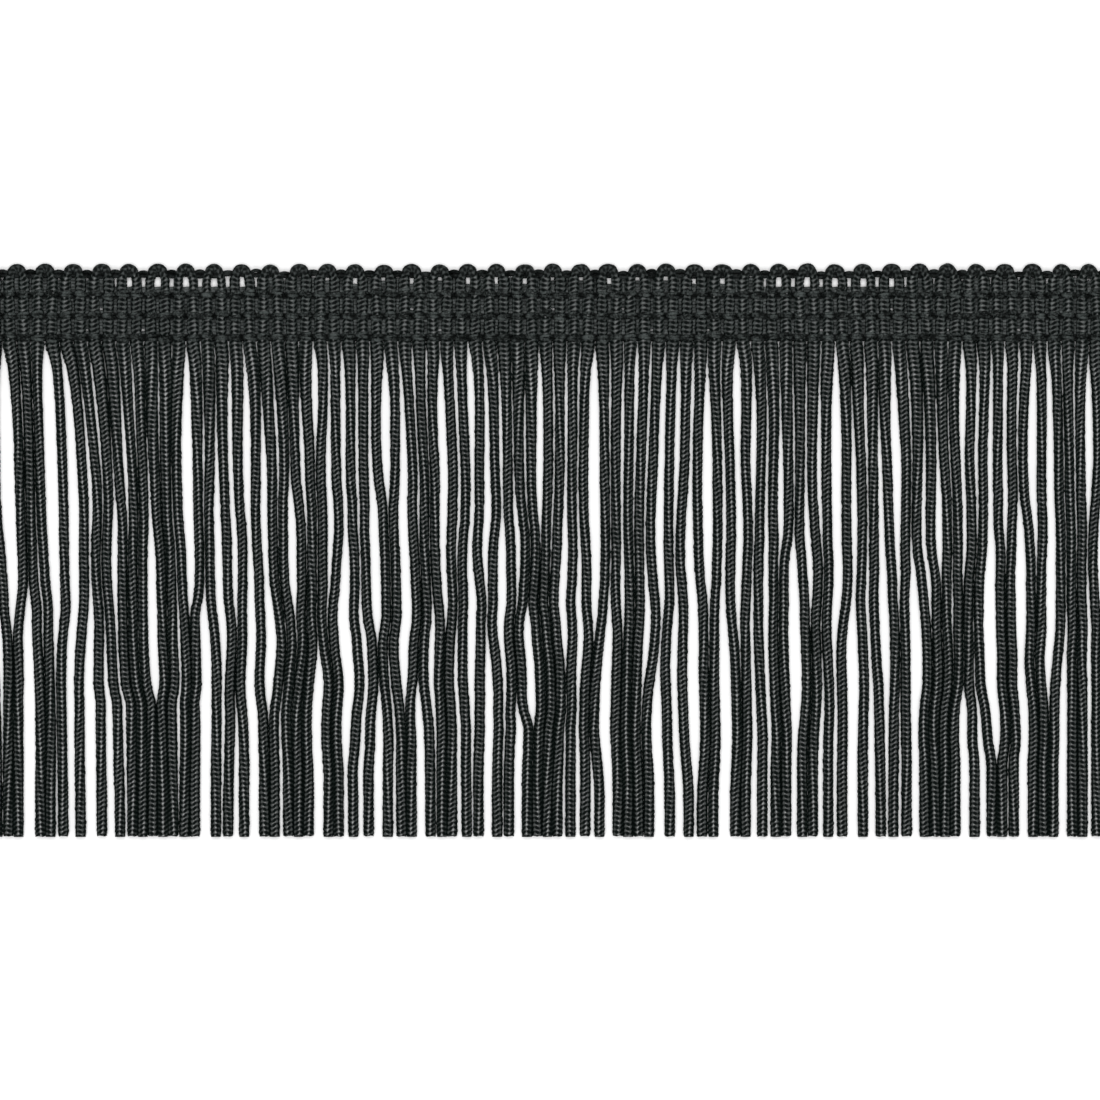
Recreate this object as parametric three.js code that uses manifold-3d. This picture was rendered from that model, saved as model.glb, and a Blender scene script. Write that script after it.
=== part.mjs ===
// A cut length of chainette fringe trim, lying flat on its back. One chainette cord runs back and
// forth: it turns in small picot loops along the top edge, is bound by four rows of chain stitch,
// and hangs below them as strands cut level. X runs along the trim, Y from the tips up to the
// picots, Z up from the surface it lies on.
import * as THREE from 'three';
import { mergeVertices } from 'three/addons/utils/BufferGeometryUtils.js';
import Module from 'manifold-3d';

const wasm = await Module();
wasm.setup();

// Driving sizes, in millimetres
const DROP = 101.6; // picot tops to cut tips
const PICOTS = 41; // loops in the cut length
const STRAND_PITCH = 2.5; // each loop hangs as two strands
const CHAIN_PITCH = 3.7; // from one row of chain stitch to the next
const FIRST_CHAIN = 2.0; // picot tops to the first row
const CHAIN_ROWS = 4;
const CLEARANCE = 0.3; // between pieces that touch

// The heading: ribs of cord, pressed down where a row of chain stitch binds them
const RIB_HEIGHT = 1.8;
const PRESSED_HEIGHT = 1.2;
const GROOVE_HEIGHT = 0.8;
const LIP_HEIGHT = 0.6; // how thick the picots' rounded edge is
const HEADING_DEPTH = 11.6; // picot tops to the strip that carries the strands

// The strip that carries the strands, and one strand's four-sided section
const STRIP_DEPTH = 2.0;
const STRIP_HEIGHT = 1.1;
const ROOT_INSET = 0.4; // how far below the strip's upper edge a strand starts
const ROOT_LIFT = 0.25; // strands leave the strip a little above the surface
const LIFT_RUN = 9; // and have come down to it after this length
const ROOT_WIDENING = 1.3; // strands are pressed wider than they are where the strip holds them
const WIDENING_RUN = 7.5;
const PRESSED_RUN = 1.5; // length over which a strand swells again below the last chain row
const STRAND_FOOT = 1.45;
const STRAND_CROWN = 1.0;
const STRAND_HEIGHT = 1.75;

// A row of chain stitch: a flat thread along the trim
const THREAD_WIDTH = 0.9;
const THREAD_HEIGHT = 0.6;
const THREAD_SIDES = 6;

// How the strands lie
const CLOSEST = 1.8; // two strands that touch, middle to middle
const EVEN_GAP = 0.9; // clear space between two strands that hang straight
const OPEN_SHARE = 0.6; // how far each side of a parting moves
const SPREAD = 2.0; // strands over which a parting's push dies away
const SETTLE_RUN = 38; // length over which a strand drifts to its lean
const OPEN_RUN = 14; // length over which the partings open below the strip
const LEAD = 9; // strands bend off at once: near the strip they lie as if this much lower
const LEAD_RUN = 2.2; // length over which they take up that lead
const LEAD_FADE = 24; // and over which they are back in step
const EASE = 1.5; // how gently strands start to lean and cling
const WANDER = 0.2; // sideways waver of each strand
const WANDER_RUN = 9.5; // length of that waver, over a turn of one radian
const WANDER_TURN = 2.4; // change of its phase from strand to strand
const KINK = 0.06; // shorter bends that the cord keeps from its knitting
const KINK_RUN = 4.2; // length of those bends, over a turn of one radian
const KINK_TURN = 1.7; // change of their phase, over the square of the strand's number
const CALM_FROM = 50; // from here down the strands hang straighter
const CALM_RUN = 12; // length over which their bends die out
const CLING = 5; // how sharply gaps either close or open
const CLING_RUN = 26; // length over which the strands come to cling
const CLING_REACH = 8; // strands that share their room
const CLING_HOLD = 12; // strands over which the lay keeps its place
const LEAST_GAP = 0.02;
const PUSH_PASSES = 60;

// Places below the heading where a strand's section is set
const STRAND_STEPS = 13;

const strands = 2 * PICOTS;
const picotPitch = 2 * STRAND_PITCH;
const length = PICOTS * picotPitch;
const top = DROP / 2;
const stripTop = top - HEADING_DEPTH - CLEARANCE;
const stripFoot = stripTop - STRIP_DEPTH;
const freeLength = stripFoot + DROP / 2;
const ribSlope = (RIB_HEIGHT - PRESSED_HEIGHT) / (CHAIN_PITCH / 2); // from a chain row up to a rib's crown

// One picot across: how far its edge lies below the picot tops, and how full its rib is
const PICOT_SECTION = [
  { along: -2.5, edge: 1.55, rib: 0 },
  { along: -1.6, edge: 1.3, rib: 1 },
  { along: -0.9, edge: 0.3, rib: 1 },
  { along: 0, edge: 0, rib: 0.4 },
  { along: 0.9, edge: 0.3, rib: 1 },
  { along: 1.6, edge: 1.3, rib: 1 },
];

// How far the tips have drifted along the trim, at a few strands
const LEANS = [
  { strand: 0, drift: 2.8 },
  { strand: 9, drift: 2.9 },
  { strand: 16, drift: 1.6 },
  { strand: 32, drift: 1.5 },
  { strand: 48, drift: -1.0 },
  { strand: 54, drift: -0.4 },
  { strand: 60, drift: 1.6 },
  { strand: 72, drift: 1.0 },
  { strand: 81, drift: -0.6 },
];

// Where the lying strands have fallen open: the strand on the parting's left, the depth below the
// strip where it is widest, how far it reaches each way, and its clear gap there. A parting that
// reaches the tips stays open to them.
const PARTINGS = [
  { after: 1, depth: 26, reach: 34, gap: 2.8 },
  { after: 2, depth: 68, reach: 30, gap: 2.4 },
  { after: 4, depth: 22, reach: 46, gap: 2.5 },
  { after: 5, depth: 28, reach: 36, gap: 1.8 },
  { after: 6, depth: 72, reach: 32, gap: 1.9 },
  { after: 11, depth: 51, reach: 20, gap: 2.4 },
  { after: 14, depth: 24, reach: 30, gap: 2.0 },
  { after: 15, depth: 60, reach: 16, gap: 1.9 },
  { after: 15, depth: 80, reach: 28, gap: 2.2 },
  { after: 18, depth: 21, reach: 16, gap: 1.5 },
  { after: 19, depth: 55, reach: 14, gap: 1.5 },
  { after: 21, depth: 37, reach: 14, gap: 1.4 },
  { after: 23, depth: 10, reach: 16, gap: 1.6 },
  { after: 23, depth: 74, reach: 26, gap: 1.9 },
  { after: 25, depth: 55, reach: 22, gap: 3.2 },
  { after: 27, depth: 42, reach: 16, gap: 1.8 },
  { after: 27, depth: 78, reach: 26, gap: 1.7 },
  { after: 28, depth: 21, reach: 14, gap: 1.8 },
  { after: 29, depth: 38, reach: 34, gap: 1.8 },
  { after: 30, depth: 78, reach: 26, gap: 1.9 },
  { after: 32, depth: 23, reach: 18, gap: 1.6 },
  { after: 34, depth: 12, reach: 16, gap: 1.6 },
  { after: 35, depth: 72, reach: 26, gap: 1.9 },
  { after: 36, depth: 42, reach: 12, gap: 1.7 },
  { after: 37, depth: 78, reach: 26, gap: 1.8 },
  { after: 38, depth: 58, reach: 18, gap: 2.1 },
  { after: 39, depth: 21, reach: 20, gap: 1.6 },
  { after: 41, depth: 42, reach: 18, gap: 1.6 },
  { after: 43, depth: 27, reach: 34, gap: 1.9 },
  { after: 44, depth: 64, reach: 16, gap: 2.2 },
  { after: 48, depth: 76, reach: 28, gap: 1.8 },
  { after: 50, depth: 58, reach: 24, gap: 2.0 },
  { after: 51, depth: 31, reach: 18, gap: 1.6 },
  { after: 52, depth: 76, reach: 26, gap: 2.0 },
  { after: 53, depth: 12, reach: 14, gap: 2.1 },
];

// Where strands have been drawn together: the strand in the middle, how many strands it reaches each
// way, and how far it draws them
const GATHERS = [
  { middle: 11, reach: 4, draw: 0.48 },
  { middle: 22, reach: 3, draw: 0.42 },
  { middle: 31, reach: 3, draw: 0.28 },
  { middle: 39.5, reach: 4, draw: 0.48 },
  { middle: 46, reach: 2.5, draw: 0.35 },
];
const LAY_REPEAT = 46; // the lay comes round again after this many strands
const LAY_RESTART = 9; // its partings from this strand on

const partings = [...PARTINGS];
for (const row of PARTINGS) {
  if (row.after >= LAY_RESTART && row.after + LAY_REPEAT < strands - 1) {
    partings.push({ ...row, after: row.after + LAY_REPEAT });
  }
}
const gathers = [...GATHERS];
for (const row of GATHERS) {
  if (row.middle + LAY_REPEAT < strands - 1) gathers.push({ ...row, middle: row.middle + LAY_REPEAT });
}

const blackCord = new THREE.MeshStandardMaterial({ color: 0x17191a, roughness: 0.55, metalness: 0 });
const blackThread = new THREE.MeshStandardMaterial({ color: 0x101112, roughness: 0.75, metalness: 0 });

// A closed surface from points and the triangles between them
function surface(points, triangles) {
  const geometry = new THREE.BufferGeometry();
  geometry.setAttribute('position', new THREE.Float32BufferAttribute(points.flat(), 3));
  geometry.setIndex(triangles.flat());
  geometry.computeVertexNormals();
  return geometry;
}

function toManifold(geometry) {
  const bare = geometry.clone();
  bare.deleteAttribute('normal');
  bare.deleteAttribute('uv');
  const merged = mergeVertices(bare);
  const vertProperties = new Float32Array(merged.attributes.position.array);
  const triVerts = new Uint32Array(merged.index.array);
  return new wasm.Manifold(new wasm.Mesh({ numProp: 3, vertProperties, triVerts }));
}

function fromManifold(solid) {
  const mesh = solid.getMesh();
  const geometry = new THREE.BufferGeometry();
  geometry.setAttribute('position', new THREE.BufferAttribute(mesh.vertProperties, 3));
  geometry.setIndex(new THREE.BufferAttribute(mesh.triVerts, 1));
  geometry.computeVertexNormals();
  return geometry;
}

// Depth of each row of chain stitch below the picot tops
function chainDepth(row) {
  return FIRST_CHAIN + row * CHAIN_PITCH;
}

// The heading's columns, from one end of the trim to the other
function headingColumns() {
  const columns = [];
  for (let picot = 0; picot < PICOTS; picot++) {
    const middle = (picot + 0.5) * picotPitch - length / 2;
    for (const { along, edge, rib } of PICOT_SECTION) {
      columns.push({ x: middle + along, edge, rib });
    }
  }
  const { edge, rib } = PICOT_SECTION[0];
  columns.push({ x: length / 2, edge, rib });
  return columns;
}

// The heading's height at one column, from the picots' edge to the strip: high between two rows of
// chain stitch and pressed down under each
function headingLine({ x, edge, rib }) {
  const line = [];
  const lay = (depth, height) => {
    const z = Math.min(height, GROOVE_HEIGHT + rib * (height - GROOVE_HEIGHT));
    line.push([x, top - depth, z]);
  };
  const picotMiddle = (edge + FIRST_CHAIN) / 2;
  lay(edge, LIP_HEIGHT);
  lay(picotMiddle, PRESSED_HEIGHT + ribSlope * (FIRST_CHAIN - picotMiddle));
  for (let row = 0; row < CHAIN_ROWS - 1; row++) {
    const depth = chainDepth(row);
    const last = row === CHAIN_ROWS - 2;
    lay(depth, PRESSED_HEIGHT);
    lay(last ? HEADING_DEPTH : depth + CHAIN_PITCH / 2, RIB_HEIGHT);
  }
  return line;
}

function headingGeometry() {
  const lines = headingColumns().map(headingLine);
  const rows = lines[0].length;
  const last = lines.length - 1;
  const points = [];
  const triangles = [];
  const quad = (a, b, c, d) => triangles.push([a, b, c], [a, c, d]);
  for (const line of lines) {
    const [x, upperY] = line[0];
    const lowerY = line[rows - 1][1];
    points.push(...line, [x, lowerY, 0], [x, upperY, 0]);
  }
  const around = rows + 2; // each column's ring: its upper line, then its two corners underneath
  const at = (column, place) => column * around + (place % around);
  for (let column = 0; column < last; column++) {
    for (let place = 0; place < around; place++) {
      quad(at(column, place), at(column, place + 1), at(column + 1, place + 1), at(column + 1, place));
    }
  }
  for (let place = 1; place < around - 1; place++) {
    triangles.push([at(0, 0), at(0, place + 1), at(0, place)]);
    triangles.push([at(last, 0), at(last, place), at(last, place + 1)]);
  }
  return surface(points, triangles);
}

// How far strand `index` leans along the trim at its tip
function tipDrift(index) {
  const next = Math.max(1, LEANS.findIndex((row) => row.strand >= index));
  const from = LEANS[next - 1];
  const to = LEANS[next];
  const share = (index - from.strand) / (to.strand - from.strand);
  return from.drift + share * (to.drift - from.drift);
}

// Rises gently from 0 at the strip towards 1, over a run
function eased(depth, run) {
  return 1 - Math.exp(-((depth / run) ** EASE));
}

function partingBump(t, staysOpen) {
  if (staysOpen && t > 0) return 1;
  return Math.abs(t) < 1 ? Math.cos((Math.PI / 2) * t) ** 2 : 0;
}

// The mean of a value over the strands near each one
function nearbyMean(values, reach) {
  return values.map((_, here) => {
    let sum = 0;
    let shares = 0;
    values.forEach((value, other) => {
      const share = Math.exp(-(((other - here) / reach) ** 2));
      sum += share * value;
      shares += share;
    });
    return sum / shares;
  });
}

// Strands cling together: a gap narrower than those around it closes, and the others share its room
function cling(places, depth) {
  const clung = eased(depth, CLING_RUN);
  const gaps = places.slice(1).map((x, index) => Math.max(x - places[index] - CLOSEST, LEAST_GAP));
  const room = nearbyMean(gaps, CLING_REACH);
  const weights = gaps.map((gap, index) => {
    const apart = (gap / room[index]) ** CLING;
    return ((1 - clung) * gap) / room[index] + (clung * 2 * apart) / (1 + apart);
  });
  const share = nearbyMean(weights, CLING_REACH);
  const moved = [places[0]];
  weights.forEach((weight, index) => {
    moved.push(moved[index] + CLOSEST + (weight * room[index]) / share[index]);
  });
  const shift = nearbyMean(moved.map((x, index) => x - places[index]), CLING_HOLD);
  return moved.map((x, index) => x - shift[index]);
}

// Strands that would cross are pushed apart
function pushApart(places) {
  for (let pass = 0; pass < PUSH_PASSES; pass++) {
    for (let index = 1; index < strands; index++) {
      const lack = CLOSEST - (places[index] - places[index - 1]);
      if (lack > 0) {
        places[index - 1] -= lack / 2;
        places[index] += lack / 2;
      }
    }
  }
  return places;
}

// The end strands stay within the cut length
function keepWithin(places) {
  const end = (length - STRAND_FOOT) / 2;
  return places.map((x, index) => {
    const lowest = index * CLOSEST - end;
    const highest = end - (strands - 1 - index) * CLOSEST;
    return Math.min(Math.max(x, lowest), highest);
  });
}

// The depth whose lay the strands have, at a place below the strip
function layDepth(below) {
  const taken = 1 - Math.exp(-below / LEAD_RUN);
  return below + LEAD * taken * Math.exp(-((below / LEAD_FADE) ** 2));
}

// The depth whose bends the strands have: towards the tips they hardly change
function calmDepth(depth) {
  const past = Math.max(0, depth - CALM_FROM);
  return Math.min(depth, CALM_FROM) + CALM_RUN * (1 - Math.exp(-past / CALM_RUN));
}

// Where each strand lies along the trim at a place below the strip
function strandPlaces(below) {
  const depth = layDepth(below);
  const calm = calmDepth(depth);
  const drawn = eased(depth, SETTLE_RUN);
  const settled = drawn / eased(freeLength, SETTLE_RUN);
  const loose = eased(depth, OPEN_RUN);
  const places = [];
  for (let index = 0; index < strands; index++) {
    let x = (index + 0.5) * STRAND_PITCH - length / 2;
    x += settled * tipDrift(index);
    x += settled * WANDER * Math.sin(calm / WANDER_RUN + WANDER_TURN * index);
    x += loose * KINK * Math.sin(calm / KINK_RUN + KINK_TURN * index ** 2);
    for (const { middle, reach, draw } of gathers) {
      const away = index - middle;
      x -= drawn * draw * away * Math.exp(-((away / reach) ** 2));
    }
    for (const { after, depth: middle, reach, gap } of partings) {
      const staysOpen = middle + reach >= freeLength;
      const opened = (gap - EVEN_GAP) * partingBump((depth - middle) / reach, staysOpen);
      const away = index - after - 0.5;
      const push = Math.exp((0.5 - Math.abs(away)) / SPREAD);
      x += OPEN_SHARE * opened * Math.sign(away) * push * loose;
    }
    places.push(x);
  }
  return keepWithin(pushApart(cling(places, depth)));
}

// A strand's four corners at one place, seen from its tip: two on the foot, two on the crown
function strandSection(x, { y, lift, height, widening }) {
  const foot = (widening * STRAND_FOOT) / 2;
  const crown = (widening * STRAND_CROWN) / 2;
  return [
    [x - foot, y, lift],
    [x + foot, y, lift],
    [x + crown, y, lift + height],
    [x - crown, y, lift + height],
  ];
}

// The strands' sections at one depth below the strip
function strandStop(depth) {
  return {
    y: stripFoot - depth,
    places: strandPlaces(depth),
    lift: ROOT_LIFT * Math.max(0, 1 - depth / LIFT_RUN),
    height: depth > 0 ? STRAND_HEIGHT : PRESSED_HEIGHT - ROOT_LIFT,
    widening: 1 + (ROOT_WIDENING - 1) * Math.exp(-((depth / WIDENING_RUN) ** 2)),
  };
}

function strandsGeometry() {
  const root = strandStop(0);
  const stops = [{ ...root, y: stripTop - ROOT_INSET }, root, strandStop(PRESSED_RUN)];
  for (let step = 1; step <= STRAND_STEPS; step++) {
    stops.push(strandStop((freeLength * step) / STRAND_STEPS));
  }
  const points = [];
  const triangles = [];
  for (let index = 0; index < strands; index++) {
    const first = points.length;
    for (const stop of stops) points.push(...strandSection(stop.places[index], stop));
    const corner = (stop, side) => first + 4 * stop + (side % 4);
    for (let stop = 0; stop < stops.length - 1; stop++) {
      for (let side = 0; side < 4; side++) {
        const near = [corner(stop, side), corner(stop, side + 1)];
        const far = [corner(stop + 1, side), corner(stop + 1, side + 1)];
        triangles.push([near[0], far[1], far[0]], [near[0], near[1], far[1]]);
      }
    }
    const end = stops.length - 1;
    triangles.push([corner(0, 0), corner(0, 2), corner(0, 1)], [corner(0, 0), corner(0, 3), corner(0, 2)]);
    triangles.push([corner(end, 0), corner(end, 1), corner(end, 2)]);
    triangles.push([corner(end, 0), corner(end, 2), corner(end, 3)]);
  }
  return surface(points, triangles);
}

// The strands, fused at their roots into the narrow strip along the heading's lower edge
function skirtGeometry() {
  const strip = new THREE.BoxGeometry(length, STRIP_DEPTH, STRIP_HEIGHT);
  strip.translate(0, stripTop - STRIP_DEPTH / 2, STRIP_HEIGHT / 2);
  return fromManifold(toManifold(strip).add(toManifold(strandsGeometry())));
}

// One row of chain stitch, a flat thread lying over the ribs
function chainGeometry() {
  const thread = new THREE.CylinderGeometry(0.5, 0.5, length, THREAD_SIDES);
  thread.rotateZ(Math.PI / 2);
  thread.scale(1, THREAD_WIDTH, THREAD_HEIGHT);
  return thread;
}

const trim = new THREE.Group();

function addPiece(name, geometry, material) {
  const piece = new THREE.Mesh(geometry, material);
  piece.name = name;
  trim.add(piece);
  return piece;
}

addPiece('heading', headingGeometry(), blackCord);
addPiece('skirt', skirtGeometry(), blackCord);
for (let row = 0; row < CHAIN_ROWS; row++) {
  const chain = addPiece(`binding_chain_${row + 1}`, chainGeometry(), blackThread);
  chain.position.set(0, top - chainDepth(row), PRESSED_HEIGHT + CLEARANCE + THREAD_HEIGHT / 2);
}

export default trim;
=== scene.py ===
import math

import bpy
import numpy as np
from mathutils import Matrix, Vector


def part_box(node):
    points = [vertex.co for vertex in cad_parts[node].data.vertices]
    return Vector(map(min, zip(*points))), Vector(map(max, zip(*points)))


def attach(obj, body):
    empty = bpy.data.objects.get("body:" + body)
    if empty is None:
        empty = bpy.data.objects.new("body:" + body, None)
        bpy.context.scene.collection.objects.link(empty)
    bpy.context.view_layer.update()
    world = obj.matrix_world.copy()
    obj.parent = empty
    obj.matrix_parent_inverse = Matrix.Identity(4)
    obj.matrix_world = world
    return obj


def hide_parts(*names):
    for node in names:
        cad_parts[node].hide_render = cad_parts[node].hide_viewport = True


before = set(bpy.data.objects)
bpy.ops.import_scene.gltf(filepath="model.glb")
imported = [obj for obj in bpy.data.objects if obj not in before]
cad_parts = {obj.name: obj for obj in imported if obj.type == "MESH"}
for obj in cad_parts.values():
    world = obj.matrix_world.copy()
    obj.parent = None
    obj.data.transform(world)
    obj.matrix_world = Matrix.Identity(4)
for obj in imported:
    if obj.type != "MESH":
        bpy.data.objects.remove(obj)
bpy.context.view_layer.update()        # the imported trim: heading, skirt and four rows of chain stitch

mm = 0.001
rng = np.random.default_rng(41)        # the same trim each run

# Lines of the trim, in millimetres, read from the solids
headingLow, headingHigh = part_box("heading")
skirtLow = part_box("skirt")[0]
chainNames = ["binding_chain_1", "binding_chain_2", "binding_chain_3", "binding_chain_4"]
chainLines = [sum(corner.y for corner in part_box(name)) / 2 / mm for name in chainNames]
trimLength = (headingHigh.x - headingLow.x) / mm
picotLine = headingHigh.y / mm
tipLine = skirtLow.y / mm
endRoom = 0.2              # threads along the trim stop this far from its cut ends
print("trim", round(trimLength, 1), "mm long, chain rows at", [round(y, 2) for y in chainLines])


# How the cord is laid and how the loose strands have settled, in millimetres
lay = {
    "picots": 41,
    "closest": 1.80,       # two strands that touch, middle to middle
    "leastGap": 0.02,
    "cling": 5.0,          # how sharply gaps either close or open
    "clingRun": 26.0,      # length over which the strands come to cling
    "clingReach": 8.0,     # strands that share their room
    "clingHold": 12.0,     # strands over which the lay keeps its place
    "evenGap": 0.9,        # clear space between two straight strands
    "openShare": 0.6,      # how far each side of a parting moves
    "spread": 2.0,         # strands over which a parting's push dies away
    "settleRun": 38.0,     # length over which a strand drifts to its lean
    "ease": 1.5,           # how gently strands start to lean and cling
    "wander": 0.20,        # sideways waver of each strand
    "wanderRun": 9.5,
    "wanderTurn": 2.4,     # change of its phase from strand to strand
    "kink": 0.06,          # shorter bends that the cord keeps from its knitting
    "kinkRun": 4.2,
    "kinkTurn": 1.7,       # change of their phase, over the square of the strand's number
    "openRun": 14.0,       # partings open over this length below the heading
    "lead": 9.0,           # strands bend off at once: near the heading they lie as if this much lower
    "leadRun": 2.2,        # length over which they take up that lead
    "leadFade": 24.0,      # length over which they are back in step
    "calmFrom": 50.0,      # from here down the strands hang straighter
    "calmRun": 12.0,       # length over which they straighten
    "pushPasses": 60,
    "stops": 120,          # depths at which the lay is worked out
    "endHalf": 0.725,      # from the end strands' middles to the cut ends
    "strip": 13.9,         # picot tops to the heading's lower edge
    "repeat": 46,          # the lay comes round again after this many strands
    "restart": 9,          # the first strand whose partings do
}

# Drift of the tips along the trim: strand, drift
leans = [
    (0, 2.8), (9, 2.9), (16, 1.6), (32, 1.5), (48, -1.0), (54, -0.4), (60, 1.6), (72, 1.0), (81, -0.6),
]

# Where the strands have fallen open: strand on the left, depth, reach, clear gap
partings = [
    (1, 26, 34, 2.8), (2, 68, 30, 2.4), (4, 22, 46, 2.5), (5, 28, 36, 1.8), (6, 72, 32, 1.9),
    (11, 51, 20, 2.4), (14, 24, 30, 2.0), (15, 60, 16, 1.9), (15, 80, 28, 2.2), (18, 21, 16, 1.5),
    (19, 55, 14, 1.5), (21, 37, 14, 1.4), (23, 10, 16, 1.6), (23, 74, 26, 1.9), (25, 55, 22, 3.2),
    (27, 42, 16, 1.8), (27, 78, 26, 1.7), (28, 21, 14, 1.8), (29, 38, 34, 1.8), (30, 78, 26, 1.9),
    (32, 23, 18, 1.6), (34, 12, 16, 1.6), (35, 72, 26, 1.9), (36, 42, 12, 1.7), (37, 78, 26, 1.8),
    (38, 58, 18, 2.1), (39, 21, 20, 1.6), (41, 42, 18, 1.6), (43, 27, 34, 1.9), (44, 64, 16, 2.2),
    (48, 76, 28, 1.8), (50, 58, 24, 2.0), (51, 31, 18, 1.6), (52, 76, 26, 2.0), (53, 12, 14, 2.1),
]

# Where strands have been drawn together: strand in the middle, strands each way, draw
gathers = [(11, 4.0, 0.48), (22, 3.0, 0.42), (31, 3.0, 0.28), (39.5, 4.0, 0.48), (46, 2.5, 0.35)]

strands = 2 * lay["picots"]
strandPitch = trimLength / strands
freeTop = picotLine - lay["strip"]
freeLength = freeTop - tipLine


# Rows of a lay table, and the same rows where the lay comes round again
def comingRound(rows, restart):
    again = [(row[0] + lay["repeat"], *row[1:]) for row in rows if row[0] >= restart]
    return rows + [row for row in again if row[0] < strands - 1]


# Rises gently from 0 at the heading towards 1, over a run
def eased(depth, run):
    return 1 - np.exp(-((depth / run) ** lay["ease"]))


# Mean over the strands near each one
def nearbyMean(values, reach):
    index = np.arange(values.shape[1])
    share = np.exp(-(((index[:, None] - index[None, :]) / reach) ** 2))
    return values @ (share / share.sum(1, keepdims=True)).T


# Strands cling together: a gap narrower than those around it closes, and the others share its room
def cling(x, depth):
    clung = eased(depth, lay["clingRun"])
    gaps = np.maximum(np.diff(x, axis=1) - lay["closest"], lay["leastGap"])
    room = nearbyMean(gaps, lay["clingReach"])
    apart = (gaps / room) ** lay["cling"]
    weight = (1 - clung) * gaps / room + clung * 2 * apart / (1 + apart)
    gaps = room * weight / nearbyMean(weight, lay["clingReach"])
    steps = np.cumsum(gaps + lay["closest"], axis=1)
    moved = np.concatenate([x[:, :1], x[:, :1] + steps], 1)
    return moved - nearbyMean(moved - x, lay["clingHold"])


# Places of all strands along the trim, one row for each depth below the heading
def strandPlaces(depths):
    taken = 1 - np.exp(-depths / lay["leadRun"])
    lead = lay["lead"] * taken * np.exp(-((depths / lay["leadFade"]) ** 2))
    depth = (depths + lead)[:, None]
    index = np.arange(strands)[None, :]
    settled = eased(depth, lay["settleRun"]) / eased(freeLength, lay["settleRun"])
    drift = np.interp(index, [row[0] for row in leans], [row[1] for row in leans])
    past = np.maximum(depth - lay["calmFrom"], 0)
    calm = np.minimum(depth, lay["calmFrom"]) + lay["calmRun"] * (1 - np.exp(-past / lay["calmRun"]))
    waver = lay["wander"] * np.sin(calm / lay["wanderRun"] + lay["wanderTurn"] * index)
    kink = lay["kink"] * np.sin(calm / lay["kinkRun"] + lay["kinkTurn"] * index**2)
    x = (index + 0.5) * strandPitch - trimLength / 2 + settled * (drift + waver)
    opening = eased(depth, lay["openRun"])
    x = x + opening * kink
    for middle, reach, draw in comingRound(gathers, 0):
        away = index - middle
        x = x - eased(depth, lay["settleRun"]) * draw * away * np.exp(-((away / reach) ** 2))
    for after, middle, reach, gap in comingRound(partings, lay["restart"]):
        closing = 1 if middle + reach < freeLength else 0      # the others stay open to the tips
        t = np.clip((depth - middle) / reach, -1, closing)
        opened = (gap - lay["evenGap"]) * np.cos(math.pi / 2 * t) ** 2
        away = index - after - 0.5
        push = np.exp((0.5 - np.abs(away)) / lay["spread"])
        x = x + lay["openShare"] * opened * np.sign(away) * push * opening
    x = cling(x, depth)
    for _ in range(lay["pushPasses"]):
        for i in range(1, strands):
            lack = np.maximum(0, lay["closest"] - (x[:, i] - x[:, i - 1]))
            x[:, i - 1] -= lack / 2
            x[:, i] += lack / 2
    end = trimLength / 2 - lay["endHalf"]
    return np.clip(x, index * lay["closest"] - end, end - (strands - 1 - index) * lay["closest"])


# Chainette cord: a tiny knitted tube, its stitches in columns that slant two ways
cord = {
    "radius": 0.94,
    "stitch": 0.826,       # length of one stitch along the cord
    "rows": 3,             # rings in a stitch: one groove and two on its swell
    "columns": 6,          # stitch columns round the cord
    "grooveIn": 0.20,      # how deep the groove between two stitches is
    "columnIn": 0.11,      # and between two columns
    "flankSmooth": 0.75,   # grooves are pressed shallower on the cord's flanks
    "slant": -1,           # stitches climbed in one turn round the cord
    "uneven": 0.04,        # one stitch against another
    "unevenCount": 4000,   # stitches after which the unevenness comes round again
    "unevenStep": 731,     # how far apart in it two columns start
    "unevenSeed": 5,
    "twist": 0.9,          # slow turning of the columns, radians
    "twistRun": 14.0,
    "slowTwist": 0.7, "slowRun": 2.4,                # a slower turning on top, as shares of those two
    "headingLift": 1.05,   # height of the cord's middle in the heading
    "restLift": 0.98,      # and on the surface, as a share of the radius
    "settleFrom": 1.0,     # above the heading's lower edge, where it starts to come down
    "settleDown": 18.0,    # length over which a strand comes down to the surface
    "picotUneven": 0.11,   # one loop's height against another
    "picotStray": 0.07,    # in width and place
    "picotHold": 0.8,      # length over which the first chain row holds it to its place
    "picotSmooth": 0.75,   # stitches are drawn flat round a loop's turn
    "picotDrop": 0.2,      # the loops bend back down past the first chain row
    "dropRun": 1.2, "dropEase": 1.5,
    "picotFrom": 0.3,      # below the first chain row, where the smooth loops start
    "turnPoints": 24, "fineStep": 0.1,               # of its middle line
    "evenAcross": 11, "evenAlong": 7,                # steps over which that line is evened out
    "tipRound": 0.06, "tipRings": 2,
}

# Sides of the tube, two to a column: where the stitch groove runs at each, in rings, and the ring
# nearest to it. Columns stand half a stitch apart, and the knitting climbs one stitch in a turn.
sides = 2 * cord["columns"]
halfStitch = cord["rows"] / 2
grooveRun = np.tile([halfStitch / 2, 0.0, halfStitch / 2, halfStitch], sides // 4 + 1)[: sides + 1]
grooveRun = cord["slant"] * cord["rows"] * np.arange(sides + 1) / sides + grooveRun
grooveRing = np.floor(grooveRun + 0.5).astype(int)

# One leg of a picot loop: depth below the picot tops, distance from the loop's middle
loopLeg = [
    (1.62, 0.90), (2.0, 0.98), (2.8, 1.33), (4.2, 1.37), (5.7, 1.27), (7.5, 1.26), (9.4, 1.25),
    (11.3, 1.25), (13.1, 1.25), (13.9, 1.25),
]
loopRadius = 0.90          # of the turn, at the cord's middle


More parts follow.
